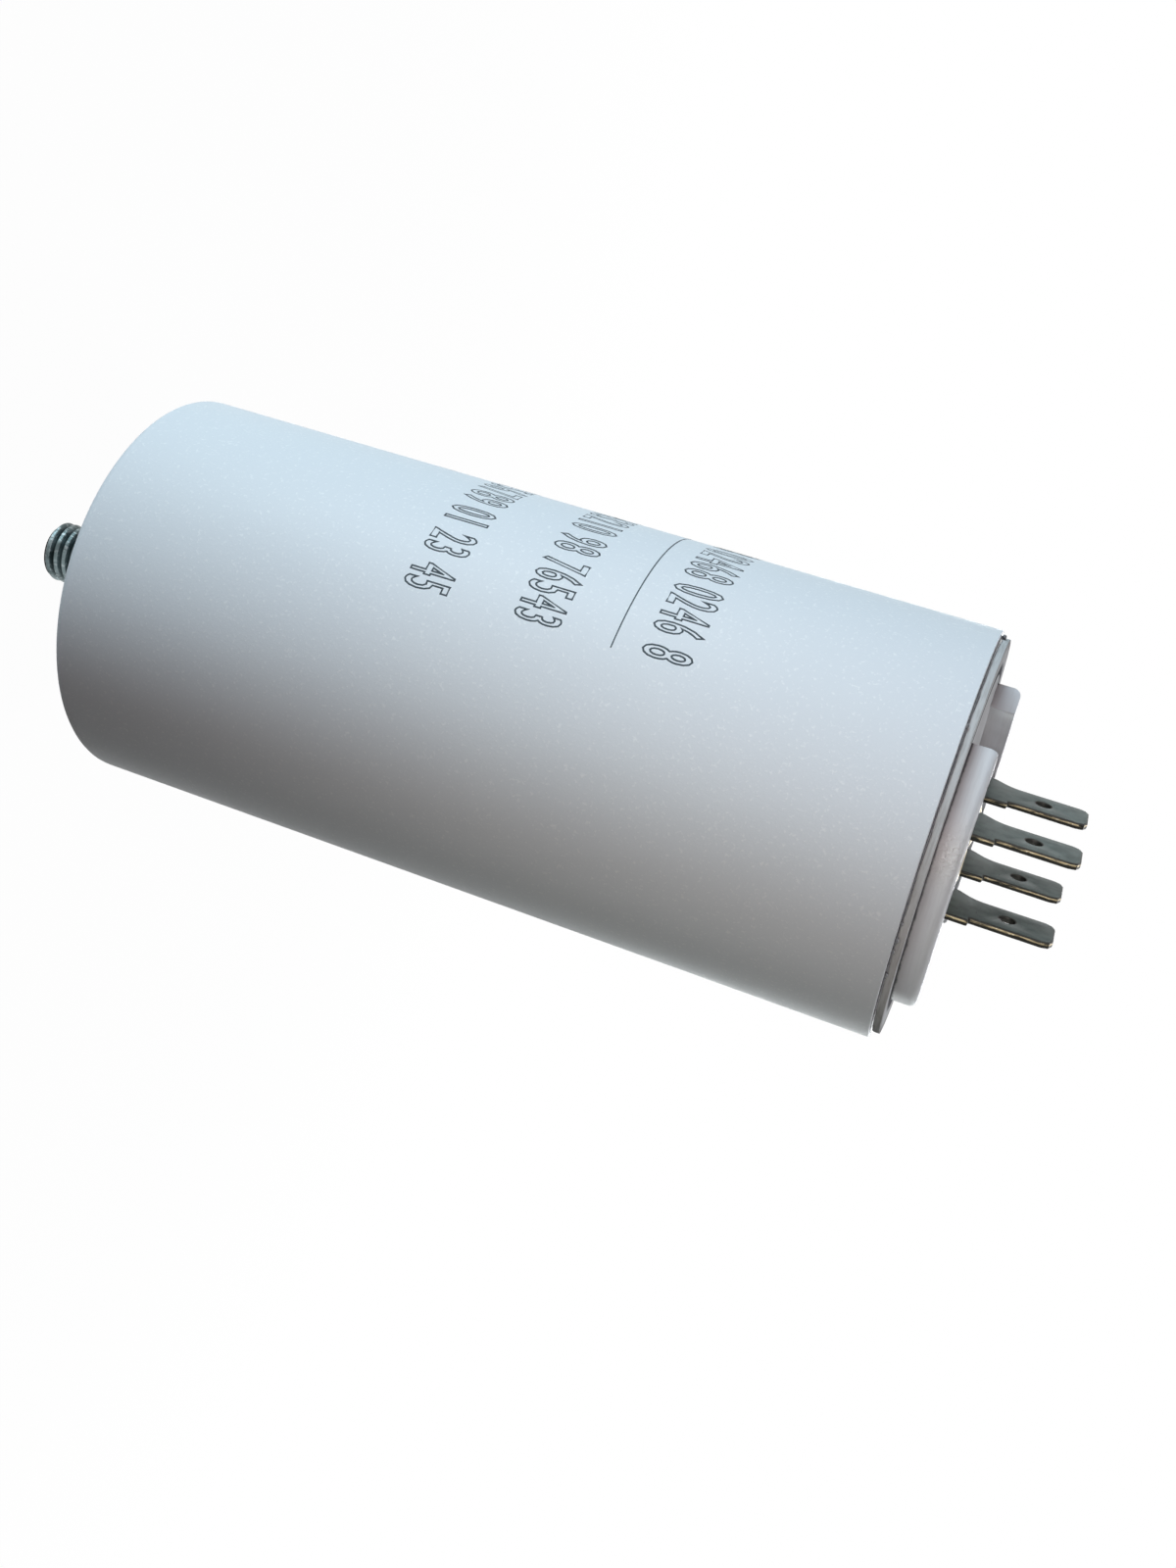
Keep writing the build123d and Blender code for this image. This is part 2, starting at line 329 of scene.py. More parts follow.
# %% [markdown]
# The camera comes first, because every later choice is judged through it. The photograph was taken from
# close by, with the can lying on its side, so the camera stands near the lid end and is rolled over by
# more than a right angle. Its place, turn and lens were worked out from the outline of the can and the
# blades.

# %% Camera
bpy.ops.object.camera_add(location=(0.186158, -0.060598, 0.111458))
camera = bpy.context.object
camera.rotation_euler = (radians(-51.9947), radians(-66.9683), radians(-145.8980))
camera.data.lens = 37.349
camera.data.clip_start = 0.01
camera.data.clip_end = 20
bpy.context.scene.camera = camera
bpy.context.scene.view_settings.view_transform = "Standard"
print("camera", tuple(round(part, 3) for part in camera.location))

# %% [markdown]
# The light is that of a plain table near a window. One large soft light, the window's, stands above the
# can in the picture. Two weak lights stand close to the lid, one pinkish and one greenish, for what the
# room and the table throw back. One light hangs over the lid end and two stand behind the can, which
# keeps its top and its back readable. The room is painted in the world, a little paler towards the
# window. The camera and mirror-like surfaces see it plain white, which gives the white background.

# %% Light
WINDOW = Vector((0.17, -0.98, 0.0))
DARK_SIDE = colour(0.006, 0.006, 0.006)
WINDOW_SIDE = colour(0.02, 0.023, 0.025)


def soft_light(name, angle, distance, height, aim_height, size, power, tint):
    """A square soft light at an angle round the can's axis, aimed at a height on it and not seen itself."""
    place = Vector((distance * cos(radians(angle)), distance * sin(radians(angle)), height))
    bpy.ops.object.light_add(type="AREA", location=place)
    light = bpy.context.object
    light.name = name
    light.rotation_mode = "QUATERNION"
    light.rotation_quaternion = (place - Vector((0, 0, aim_height))).to_track_quat("Z", "Y")
    light.data.size = size
    light.data.energy = power
    light.data.color = tint
    light.visible_camera = False
    print(name, "is", round(distance, 2), "m from the axis")


window_tint = (0.73, 0.905, 1.0)
soft_light(
    "window_light", angle=-80, distance=0.70, height=-0.13,
    aim_height=0.05, size=0.40, power=4.90, tint=window_tint,
)
room_tint = (1.0, 0.80, 0.88)
soft_light(
    "room_light", angle=-20, distance=0.16, height=0.12,
    aim_height=0.09, size=0.10, power=0.055, tint=room_tint,
)
table_tint = (0.86, 1.0, 0.84)
soft_light(
    "table_light", angle=-2, distance=0.13, height=0.10,
    aim_height=0.13, size=0.08, power=0.025, tint=table_tint,
)
end_tint = (0.97, 0.98, 1.0)
soft_light(
    "lid_end_light", angle=150, distance=0.12, height=0.33,
    aim_height=0.11, size=0.14, power=0.32, tint=end_tint,
)
back_tint = (0.93, 1.0, 1.0)
soft_light(
    "back_light", angle=135, distance=0.60, height=0.10,
    aim_height=0.05, size=0.35, power=0.90, tint=back_tint,
)
far_tint = (0.95, 0.98, 1.0)
soft_light(
    "far_light", angle=165, distance=0.60, height=0.10,
    aim_height=0.05, size=0.35, power=2.20, tint=far_tint,
)

world = bpy.data.worlds.new("room")
bpy.context.scene.world = world
world.use_nodes = True
room = world.node_tree
room.nodes.clear()
look = add_node(room, "ShaderNodeTexCoord", {}, {}, "Generated")
facing = add_node(
    room,
    "ShaderNodeVectorMath",
    {"operation": "DOT_PRODUCT"},
    {"Vector": look, "Vector_001": WINDOW},
    "Value",
)
paleness = facing * 0.5 + 0.5
room_colour = add_node(
    room,
    "ShaderNodeMix",
    {"data_type": "RGBA"},
    {"Factor_Float": paleness, "A_Color": DARK_SIDE, "B_Color": WINDOW_SIDE},
    "Result_Color",
)
room_glow = add_node(room, "ShaderNodeBackground", {}, {"Color": room_colour, "Strength": 1.0})
plain_white = add_node(room, "ShaderNodeBackground", {}, {"Color": colour(1, 1, 1), "Strength": 1.0})
by_camera = add_node(room, "ShaderNodeLightPath", {}, {}, "Is Camera Ray")
by_mirror = add_node(room, "ShaderNodeLightPath", {}, {}, "Is Glossy Ray")
by_glass = add_node(room, "ShaderNodeLightPath", {}, {}, "Is Transmission Ray")
seen = by_camera + by_mirror + by_glass
seen_world = add_node(
    room, "ShaderNodeMixShader", {}, {"Fac": seen, "Shader": room_glow, "Shader_001": plain_white}
)
add_node(room, "ShaderNodeOutputWorld", {}, {"Surface": seen_world})
print("light and room are set")

# %% [markdown]
# The floor is a wide round table top under the stud. It is white to the camera like the room behind it,
# but near the object a part of its own shading is kept, so the object still casts a faint shadow. The
# window light stands lower than the floor, so the floor itself casts no shadow and throws no light back
# on the can.

# %% Floor
FLOOR_RADIUS = 1.6
FLOOR_THICKNESS = 0.02
FLOOR_EDGE = 0.004
FLOOR_GAP = 0.05

stud_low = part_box("fixing_stud")[0]
clear_hands()
bpy.ops.mesh.primitive_circle_add(
    vertices=96, radius=FLOOR_RADIUS, fill_type="NGON", location=(0, 0, stud_low.z - FLOOR_GAP * MM)
)
floor = take_up("floor")
pick_all(floor)
bpy.ops.mesh.extrude_region_move(TRANSFORM_OT_translate={"value": (0, 0, -FLOOR_THICKNESS)})
bpy.ops.object.mode_set(mode="OBJECT")
tidy_mesh(floor)
modify(floor, "BEVEL", width=FLOOR_EDGE, segments=3, limit_method="ANGLE", angle_limit=radians(40))

table = Finish("pale_table")
grain = table.mottle(6, stretch=(4, 1, 1))
painted = table.blend(grain, colour(0.78, 0.78, 0.78), colour(0.84, 0.84, 0.84))
matt = table.node("ShaderNodeBsdfDiffuse", {}, {"Color": painted})
glow = table.node("ShaderNodeEmission", {}, {"Color": colour(1, 1, 1), "Strength": 1.0})
away = table.node("ShaderNodeVectorMath", {"operation": "LENGTH"}, {"Vector": table.place}, "Value")
far = table.step(away, 0.05, 0.30)
seen_by = table.node("ShaderNodeLightPath", {}, {}, "Is Camera Ray")
seen_in = table.node("ShaderNodeLightPath", {}, {}, "Is Glossy Ray")
seen_through = table.node("ShaderNodeLightPath", {}, {}, "Is Transmission Ray")
whiteness = (seen_by + seen_in + seen_through) * (0.975 + 0.025 * far)
top = table.node("ShaderNodeMixShader", {}, {"Fac": whiteness, "Shader": matt, "Shader_001": glow})
table.node("ShaderNodeOutputMaterial", {}, {"Surface": top})
floor.data.materials.append(table.material)
floor.visible_shadow = False
floor.visible_diffuse = False
say(floor)

# %% [markdown]
# The can is moulded in a white plastic with a satin, finely sparked surface. Close up it is not one
# white: it has faint clouds from the flow of the plastic, fine draw marks along its length and a few
# dark specks. Tiny glints in the grain are painted highlights: small spots of lighter colour.

# %% Can finish
can_finish = Finish("can_satin_white")
clouds = can_finish.mottle(22, detail=2)
draw_marks = can_finish.mottle(0.9, detail=2, stretch=(1, 1, 40))
spark = can_finish.mottle(0.38, detail=2)
painted_glint = can_finish.step(spark, 0.58, 0.72)
pits = can_finish.mottle(0.20, detail=1)
dirt = can_finish.specks(9, 0.16, 0.35)
white = can_finish.blend(clouds, colour(0.785, 0.81, 0.845), colour(0.815, 0.835, 0.86))
# Tiny light spots in the grain are painted highlights.
white = can_finish.blend(painted_glint * 0.6, white, colour(0.95, 0.96, 0.97))
white = can_finish.blend(dirt * 0.7, white, colour(0.20, 0.19, 0.18))
can_rough = 0.40 + 0.08 * clouds + 0.06 * draw_marks - 0.14 * painted_glint
skin = can_finish.bump(pits, 0.006, can_finish.bump(spark, 0.014, can_finish.bump(draw_marks, 0.004)))
can_material = can_finish.done(
    {"Base Color": white, "Roughness": can_rough, "Normal": skin, "Specular IOR Level": 0.12}
)

# %% [markdown]
# The can is turned from one drawn line that runs from the hollow round the stud, out over the base, up
# the outside, over the rim and down the inside to the boss over the stud's head. Its base corner is a
# quarter circle. It has many steps round, so that the edge of the light runs over it without a crease.
# Six ribs on the floor carry the roll, and a pocket in the boss holds the stud's head.

# %% Can
CAN_RADIUS = 25.0
CAN_HEIGHT = 105.0
CAN_WALL = 1.8
CAN_STEPS = 288
BASE_THICKNESS = 3.0
BASE_CORNER = 1.2
RIM_ROUND = 0.2
RIM_CHAMFER = 0.4
FLOOR_CHAMFER = 1.2
BOSS_RADIUS = 10.0
BOSS_TOP = 9.0
BOSS_TAPER = 0.31
RELIEF_RADIUS = 4.6
RELIEF_DEPTH = 0.6
CORE_RADIUS = 5.0
CAN_RIB_COUNT = 6
CAN_RIB_THICKNESS = 1.5
CAN_RIB_HEIGHT = 8.5
CAN_RIB_FIRST_ANGLE = 30
RIB_SUNK = 0.2
STUD_TOP = 1.2
HEAD_ACROSS_FLATS = 13.0
HEAD_HEIGHT = 4.0

inside = CAN_RADIUS - CAN_WALL
base_corner = [
    (
        CAN_RADIUS - BASE_CORNER + BASE_CORNER * sin(radians(turned)),
        BASE_CORNER - BASE_CORNER * cos(radians(turned)),
    )
    for turned in range(0, 91, 15)
]
can_body = draw_line(
    "can_moulding",
    [
        (0, RELIEF_DEPTH),
        (RELIEF_RADIUS, RELIEF_DEPTH),
        (RELIEF_RADIUS, 0),
        *base_corner,
        (CAN_RADIUS, CAN_HEIGHT - RIM_ROUND),
        (CAN_RADIUS - 0.3 * RIM_ROUND, CAN_HEIGHT - 0.3 * RIM_ROUND),
        (CAN_RADIUS - RIM_ROUND, CAN_HEIGHT),
        (inside + RIM_CHAMFER, CAN_HEIGHT),
        (inside, CAN_HEIGHT - RIM_CHAMFER),
        (inside, BASE_THICKNESS + FLOOR_CHAMFER),
        (inside - FLOOR_CHAMFER, BASE_THICKNESS),
        (BOSS_RADIUS, BASE_THICKNESS),
        (BOSS_RADIUS - BOSS_TAPER, BOSS_TOP),
        (0, BOSS_TOP),
    ],
)
turn(can_body, CAN_STEPS)
say(can_body)


def hexagon(name):
    """The stud's six-sided head, or the pocket that it fills."""
    clear_hands()
    bpy.ops.mesh.primitive_cylinder_add(
        vertices=6,
        radius=HEAD_ACROSS_FLATS / 2 / cos(radians(30)) * MM,
        depth=HEAD_HEIGHT * MM,
        location=(0, 0, (STUD_TOP + HEAD_HEIGHT / 2) * MM),
        rotation=(0, 0, radians(30)),
    )
    return take_up(name)


combine(can_body, hexagon("head_pocket"), "DIFFERENCE")
rib_length = inside - CORE_RADIUS + RIB_SUNK
rib_middle = CORE_RADIUS + rib_length / 2
rib_z = (BASE_THICKNESS + CAN_RIB_HEIGHT / 2 - RIB_SUNK / 2) * MM
for rib_number in range(CAN_RIB_COUNT):
    rib_angle = radians(CAN_RIB_FIRST_ANGLE + 360 / CAN_RIB_COUNT * rib_number)
    clear_hands()
    bpy.ops.mesh.primitive_cube_add(
        size=MM,
        location=(rib_middle * cos(rib_angle) * MM, rib_middle * sin(rib_angle) * MM, rib_z),
        rotation=(0, 0, rib_angle),
        scale=(rib_length, CAN_RIB_THICKNESS, CAN_RIB_HEIGHT + RIB_SUNK),
    )
    combine(can_body, take_up("can_rib"), "UNION")
hold(can_body)
bpy.ops.object.shade_smooth_by_angle(angle=radians(30))
can_body.data.materials.clear()
can_body.data.materials.append(can_material)
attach(can_body, "root")
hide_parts("can")
say(can_body)

# %% [markdown]
# The lid is moulded in the same plastic. Its rim was wiped with adhesive when it was pressed home, so
# it has streaks that run round it, and the rim is painted darker grey as painted shade. The foot of the
# ring wall carries a near-black band of painted shade, and the lower part of the wall is painted darker
# and browner, also as painted shade. One shiny, bumpy smear lies on the wall's near side. The smear
# fades with the distance from one spot, and the rest with the height and the distance from the axis.

# %% Lid finish
SMEAR_SPOT = (19.4, -4.6, 107.0)
SMEAR_REACH = 5.5
RIM_TOP = 106.0
RIM_START = 22.8
RIM_FULL = 23.8
WALL_FOOT_RADIUS = 20.2

lid_finish = Finish("lid_plastic")
lid_clouds = lid_finish.mottle(9, detail=3)
wipe = lid_finish.mottle(0.22, detail=4, stretch=(16, 16, 1))
lid_grain = lid_finish.mottle(0.30, detail=2)
rim_height = lid_finish.height()
wobble = rim_height + 0.30 * (lid_finish.mottle(1.1, detail=3) - 0.5)
on_wall = lid_finish.step(rim_height, RIM_TOP + 0.02, RIM_TOP + 0.15)
# The lower part of the ring wall is painted darker and browner: painted shade from the flange.
painted_low_wall_shade = 1 - lid_finish.step(rim_height, RIM_TOP + 0.1, RIM_TOP + 1.8)
off_axis = lid_finish.off_axis()
# A near-black band at the foot of the ring wall, on the wall and on the flange next to it: painted shade.
painted_foot_shade = 1 - lid_finish.step(wobble, RIM_TOP + 0.06, RIM_TOP + 0.30)
painted_foot_shade = painted_foot_shade * lid_finish.step(off_axis, WALL_FOOT_RADIUS - 0.3, WALL_FOOT_RADIUS - 0.05)
painted_foot_shade = painted_foot_shade * (1 - lid_finish.step(off_axis, WALL_FOOT_RADIUS + 0.6, WALL_FOOT_RADIUS + 1.6))
smear = lid_finish.near(SMEAR_SPOT, SMEAR_REACH)
blobs = lid_finish.mottle(0.50, detail=2)
sticky = smear * lid_finish.step(blobs, 0.44, 0.62)
# The outer part of the flange's top and its side are painted darker grey: painted shade. The adhesive
# streaks are stronger there too.
painted_rim_shade = (1 - on_wall) * lid_finish.step(off_axis, RIM_START, RIM_FULL)
streaks = lid_finish.step(wipe, 0.46, 0.64) * (0.06 + 0.49 * painted_rim_shade)
lid_white = lid_finish.blend(lid_clouds, colour(0.80, 0.825, 0.85), colour(0.835, 0.85, 0.87))
lid_white = lid_finish.blend(streaks, lid_white, colour(0.33, 0.33, 0.34))
lid_white = lid_finish.blend(painted_rim_shade * 0.55, lid_white, colour(0.34, 0.34, 0.34))
lid_white = lid_finish.blend(painted_low_wall_shade * 0.26, lid_white, colour(0.56, 0.51, 0.47))
lid_white = lid_finish.blend(smear * 0.5, lid_white, colour(0.82, 0.78, 0.74))
lid_white = lid_finish.blend(painted_foot_shade * 0.85, lid_white, colour(0.08, 0.08, 0.09))
lid_rough = 0.34 + 0.14 * wipe - 0.16 * sticky
lid_skin = lid_finish.bump(
    sticky, 0.07, lid_finish.bump(wipe, 0.012, lid_finish.bump(lid_grain, 0.006))
)
lid_material = lid_finish.done(
    {
        "Base Color": lid_white,
        "Roughness": lid_rough,
        "Normal": lid_skin,
        "Specular IOR Level": 0.0,
        "Coat Weight": on_wall * 0.3 + sticky * 0.6,
        "Coat Roughness": 0.2,
    }
)

# %% [markdown]
# The lid is one moulding: a disc with a rim that lies on the can, a skirt that goes down inside it, a
# ring wall in two parts, and two raised seats for the terminals. The disc and skirt are turned from one
# drawn line. Each part of the wall is a rectangle turned through less than a circle. All are then
# joined into one mesh, and its edges rounded, as a mould never leaves them sharp.

# %% Lid
FLANGE_TOP = 106.0
FLANGE_BOTTOM = 105.2
FLANGE_RADIUS = 24.2
PLATE_BOTTOM = 103.55
SKIRT_RADIUS = 23.05
SKIRT_WALL = 1.5
SKIRT_BOTTOM = 98.05
RING_RADIUS = 20.2
RING_WALL = 3.1
RING_TOP = 109.0
RING_EDGE_ROUND = 1.0
RING_GAP = 72.5
RING_GAP_TURN = 4.25
RING_STEPS = 40
ROUND_STEPS = 128

lid = draw_line(
    "lid_moulding",
    [
        (0, FLANGE_TOP),
        (FLANGE_RADIUS, FLANGE_TOP),
        (FLANGE_RADIUS, FLANGE_BOTTOM),
        (SKIRT_RADIUS, FLANGE_BOTTOM),
        (SKIRT_RADIUS, SKIRT_BOTTOM),
        (SKIRT_RADIUS - SKIRT_WALL, SKIRT_BOTTOM),
        (SKIRT_RADIUS - SKIRT_WALL, PLATE_BOTTOM),
        (0, PLATE_BOTTOM),
    ],
)
turn(lid, ROUND_STEPS)
say(lid)


def ring_part(name, first_angle):
    """One part of the ring wall. With no window, both turns go clockwise, so it starts at its last angle."""
    inner = RING_RADIUS - RING_WALL
    sunk = FLANGE_TOP - 0.5
    part = draw_line(name, [(inner, sunk), (RING_RADIUS, sunk), (RING_RADIUS, RING_TOP), (inner, RING_TOP)])
    pick_all(part)
    bpy.ops.mesh.edge_face_add()
    bpy.ops.transform.rotate(value=-radians(first_angle), orient_axis="Z", center_override=(0, 0, 0))
    bpy.ops.mesh.spin(
        steps=RING_STEPS,
        angle=radians(180 - RING_GAP),
        center=(0, 0, 0),
        axis=(0, 0, 1),
        use_auto_merge=False,
    )
    tidy_mesh(part)
    pick(
        part,
        "EDGE",
        lambda edge: middle(edge).z > RING_TOP - 0.01 and middle(edge).xy.length > RING_RADIUS - 0.1,
    )
    bpy.ops.mesh.bevel(offset=RING_EDGE_ROUND * MM, segments=6, affect="EDGES")
    bpy.ops.object.mode_set(mode="OBJECT")
    say(part)
    return part


last_angle = (180 - RING_GAP) / 2 + RING_GAP_TURN
near_wall = ring_part("near_wall", last_angle)
far_wall = ring_part("far_wall", 180 + last_angle)
angles = [degrees(atan2(corner.co.y, corner.co.x)) for corner in near_wall.data.vertices]
print("near wall spans", round(min(angles)), "to", round(max(angles)), "degrees")

# %% [markdown]
# The seats lift the terminals off the disc, and a low rib on each side of a seat stops its terminal
# from turning. They are blocks with their upright corners rounded before they are joined to the disc.

# %% Lid seats, ribs and rivet holes
TERMINAL_X = 7.75
SEAT_SHIFT = -0.35
SEAT_TOP = 107.35
SEAT_SIZE = (9.0, 11.7)
RIB_SIZE = (1.0, 8.1)
RIB_TOP = 108.05
RIB_OFFSET = 5.1
RIVET_RADIUS = 1.6


def moulded_block(name, centre_x, size, top):
    """A low block on the disc, a little sunk into it, with rounded upright corners."""
    sunk = FLANGE_TOP - 0.4
    clear_hands()
    bpy.ops.mesh.primitive_cube_add(size=MM, location=(centre_x * MM, 0, (top + sunk) / 2 * MM))
    bpy.context.object.scale = (size[0], size[1], top - sunk)
    block = take_up(name)
    corner_x = size[0] / 2 - 0.01
    corner_y = size[1] / 2 - 0.01
    pick(
        block,
        "EDGE",
        lambda edge: abs(middle(edge).x - centre_x) > corner_x and abs(middle(edge).y) > corner_y,
    )
    bpy.ops.mesh.bevel(offset=min(0.4, size[0] * 0.3) * MM, segments=3, affect="EDGES")
    bpy.ops.object.mode_set(mode="OBJECT")
    return block


combine(lid, near_wall, "UNION")
combine(lid, far_wall, "UNION")
for pole_x in (TERMINAL_X, -TERMINAL_X):
    seat_x = pole_x + SEAT_SHIFT
    combine(lid, moulded_block("seat", seat_x, SEAT_SIZE, SEAT_TOP), "UNION")
    for side in (1, -1):
        combine(lid, moulded_block("rib", seat_x + side * RIB_OFFSET, RIB_SIZE, RIB_TOP), "UNION")
for pole_x in (TERMINAL_X, -TERMINAL_X):
    clear_hands()
    bpy.ops.mesh.primitive_cylinder_add(
        vertices=32, radius=RIVET_RADIUS * MM, depth=12 * MM, location=(pole_x * MM, 0, FLANGE_TOP * MM)
    )
    combine(lid, take_up("rivet_drill"), "DIFFERENCE")
soften(lid, 0.12)
lid.data.materials.append(lid_material)
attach(lid, "root")
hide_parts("lid")
say(lid)

# %% [markdown]
# The stud is a rolled thread in zinc-plated steel. Its thread is one ridge that climbs by a pitch each
# turn, so it is drawn once as a short line and wound up with the Screw modifier. The ends are cut flat,
# and the whole is intersected with a plain turned bolt, which gives the thread its bevelled tip and its
# full length.

# %% Stud
STUD_RADIUS = 4.0
THREAD_ROOT = 3.32
PITCH = 1.25
STUD_TIP = -18.0
TIP_CHAMFER = 1.0
THREAD_TURNS = 18
THREAD_STEPS = 56

crest = STUD_RADIUS - 0.01
thread_start = STUD_TIP - 1.5 * PITCH
thread = draw_line(
    "threaded_stud",
    [
        (THREAD_ROOT, thread_start),
        (THREAD_ROOT, thread_start + 0.06 * PITCH),
        (crest - 0.10, thread_start + 0.30 * PITCH),
        (crest, thread_start + 0.40 * PITCH),
        (crest - 0.04, thread_start + 0.54 * PITCH),
        (crest - 0.09, thread_start + 0.68 * PITCH),
        (crest - 0.20, thread_start + 0.80 * PITCH),
        (THREAD_ROOT, thread_start + PITCH),
    ],
)
modify(
    thread,
    "SCREW",
    axis="Z",
    screw_offset=PITCH * MM,
    iterations=THREAD_TURNS,
    steps=THREAD_STEPS,
    render_steps=THREAD_STEPS,
    use_merge_vertices=True,
    merge_threshold=0.002 * MM,
)
for cut_height, cut_normal in ((STUD_TIP - 0.1, -1), (STUD_TOP + 0.1, 1)):
    pick_all(thread)
    bpy.ops.mesh.bisect(
        plane_co=(0, 0, cut_height * MM), plane_no=(0, 0, cut_normal), use_fill=True, clear_outer=True
    )
tidy_mesh(thread)

stud_blank = draw_line(
    "stud_blank",
    [
        (0, STUD_TIP),
        (STUD_RADIUS - TIP_CHAMFER, STUD_TIP),
        (STUD_RADIUS, STUD_TIP + TIP_CHAMFER),
        (STUD_RADIUS, STUD_TOP),
        (0, STUD_TOP),
    ],
)
turn(stud_blank, THREAD_STEPS)
combine(thread, stud_blank, "INTERSECT")
say(thread)

# %% [markdown]
# The stud's head sits inside the can's base, where it can't be seen, but a maker would still expect it
# there. It is the same hexagon that cut the pocket in the base. It is joined to the thread after the
# next cell's finish.

# %% Stud head
head = hexagon("stud_head")
say(head)

# %% [markdown]
# Zinc plating on a thread is scuffed bright on the crests and has faint blue and yellow patches. The
# roots are painted darker, as painted shade in the thread's hollows. The distance from the axis tells a
# crest from a root.

# %% Zinc finish
zinc = Finish("zinc_plating")
on_crest = zinc.step(zinc.off_axis(), THREAD_ROOT + 0.1, STUD_RADIUS)
patches = zinc.mottle(2.4, detail=3)
crystals = zinc.mottle(0.22, detail=3)
scuffs = zinc.step(zinc.mottle(0.5, detail=4, stretch=(1, 1, 3)), 0.52, 0.66)
plate = zinc.blend(zinc.step(patches, 0.35, 0.65), colour(0.07, 0.095, 0.098), colour(0.20, 0.255, 0.265))
# The thread's roots are painted darker: painted shade in its hollows.
plate = zinc.blend(0.5 - 0.5 * on_crest, plate, colour(0.04, 0.052, 0.055))
plate = zinc.blend(scuffs * on_crest * 0.3, plate, colour(0.62, 0.68, 0.70))
zinc_rough = 0.18 + 0.16 * patches + 0.12 * crystals
zinc_skin = zinc.bump(crystals, 0.010, zinc.bump(scuffs, 0.012))
zinc_material = zinc.done(
    {"Base Color": plate, "Metallic": 1.0, "Roughness": zinc_rough, "Normal": zinc_skin}
)
combine(thread, head, "UNION")
tidy_mesh(thread)
hold(thread)
bpy.ops.object.shade_smooth_by_angle(angle=radians(36))
thread.data.materials.clear()
thread.data.materials.append(zinc_material)
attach(thread, "root")
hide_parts("fixing_stud")
say(thread)

# %% [markdown]
# Each terminal is one strip of tinned brass, stamped and bent to a U, so its two blades stand up from
# one foot. The tin is dull grey with a mottled, slightly greenish tone. The stamped edges show the
# brass under it as golden brown streaks, kept to the upper half of each edge that faces the light, as
# painted light; the rest of each cut edge is painted near-black as painted shade. The rounded edges are
# painted near-black too, and the walls of the holes get the same near-black as painted shade. So a
# terminal carries three finishes.

# %% Tin and brass finishes
tin = Finish("dull_tin")
tin_patches = tin.mottle(1.6, detail=5)
tin_fine = tin.mottle(0.18, detail=3)
rolled = tin.mottle(0.16, detail=2, stretch=(1, 1, 22))
tin_scratch = tin.step(tin.mottle(0.30, detail=3, stretch=(7, 1, 1)), 0.64, 0.74)
tin_dark = colour(0.060, 0.078, 0.073)
tin_pale = colour(0.112, 0.136, 0.128)
tin_tone = tin.blend(tin.step(tin_patches, 0.30, 0.70), tin_dark, tin_pale)
tin_tone = tin.blend(tin_scratch * 0.5, tin_tone, colour(0.02, 0.024, 0.023))
tin_rough = 0.40 + 0.16 * tin_patches + 0.10 * rolled
tin_skin = tin.bump(tin_fine, 0.010, tin.bump(rolled, 0.006, tin.bump(tin_patches, 0.02)))
tin_material = tin.done(
    {"Base Color": tin_tone, "Metallic": 0.6, "Roughness": tin_rough, "Normal": tin_skin}
)

BLADE_Y = 4.85
brass_cut = Finish("cut_brass_edge")
tear = brass_cut.mottle(0.40, detail=4, stretch=(1, 1, 5))
tear_fine = brass_cut.mottle(0.12, detail=2, stretch=(1, 1, 3))
across = brass_cut.node("ShaderNodeSeparateXYZ", {}, {"Vector": brass_cut.place}, "Y") * (1 / MM)
in_sheet = across - across.maths("SIGN", across, 0.0) * BLADE_Y
# Golden brass shows only on the half of each cut edge that faces the light: painted light. The near-black
# elsewhere on the cut edge is painted shade.
painted_lit_half = 1 - brass_cut.step(in_sheet + 0.5 * (tear - 0.5), -0.12, 0.06)
worn_and_lit = brass_cut.step(tear, 0.36, 0.56) * painted_lit_half
edge_tone = brass_cut.blend(worn_and_lit, colour(0.018, 0.018, 0.015), colour(0.42, 0.34, 0.20))
flecks = brass_cut.step(tear_fine, 0.60, 0.72) * worn_and_lit
edge_tone = brass_cut.blend(flecks, edge_tone, colour(0.80, 0.74, 0.60))
edge_skin = brass_cut.bump(tear, 0.03, brass_cut.bump(tear_fine, 0.012))
edge_material = brass_cut.done(
    {"Base Color": edge_tone, "Metallic": 0.9, "Roughness": 0.30 + 0.20 * tear, "Normal": edge_skin}
)

# Near-black for the rounded stamped edges and the hole walls; on the hole walls it is painted shade.
dark_edge_finish = Finish("dark_edges_and_hole_shade")
dark_edge_tone = dark_edge_finish.blend(dark_edge_finish.mottle(0.5, detail=3), colour(0.015, 0.016, 0.015), colour(0.06, 0.058, 0.05))
dark_edge_and_hole_shade = dark_edge_finish.done(
    {"Base Color": dark_edge_tone, "Metallic": 0.8, "Roughness": 0.35 + 0.2 * dark_edge_finish.mottle(0.3)}
)

# %% [markdown]
# The terminal is modelled as a sheet without thickness: the foot is a plane, its two long edges are
# drawn up into blades, and the outline is cut and its corners rounded while everything is still flat.
# Only then is the foot bent, with a bevel on the two bend lines, and the sheet given its thickness.

# %% Terminal outline
SHEET = 0.8
BLADE_HALF_WIDTH = 3.15
INNER_SHOULDER = 1.7
OUTER_SHOULDER = 1.0
FOOT_Z = SEAT_TOP + SHEET / 2
CURVE_START = 109.15
SHOULDER_Z = 111.5
TIP_Z = 120.9
HOLE_Z = 115.5
HOLE_RADIUS = 0.95
BEND_RADIUS = 1.2

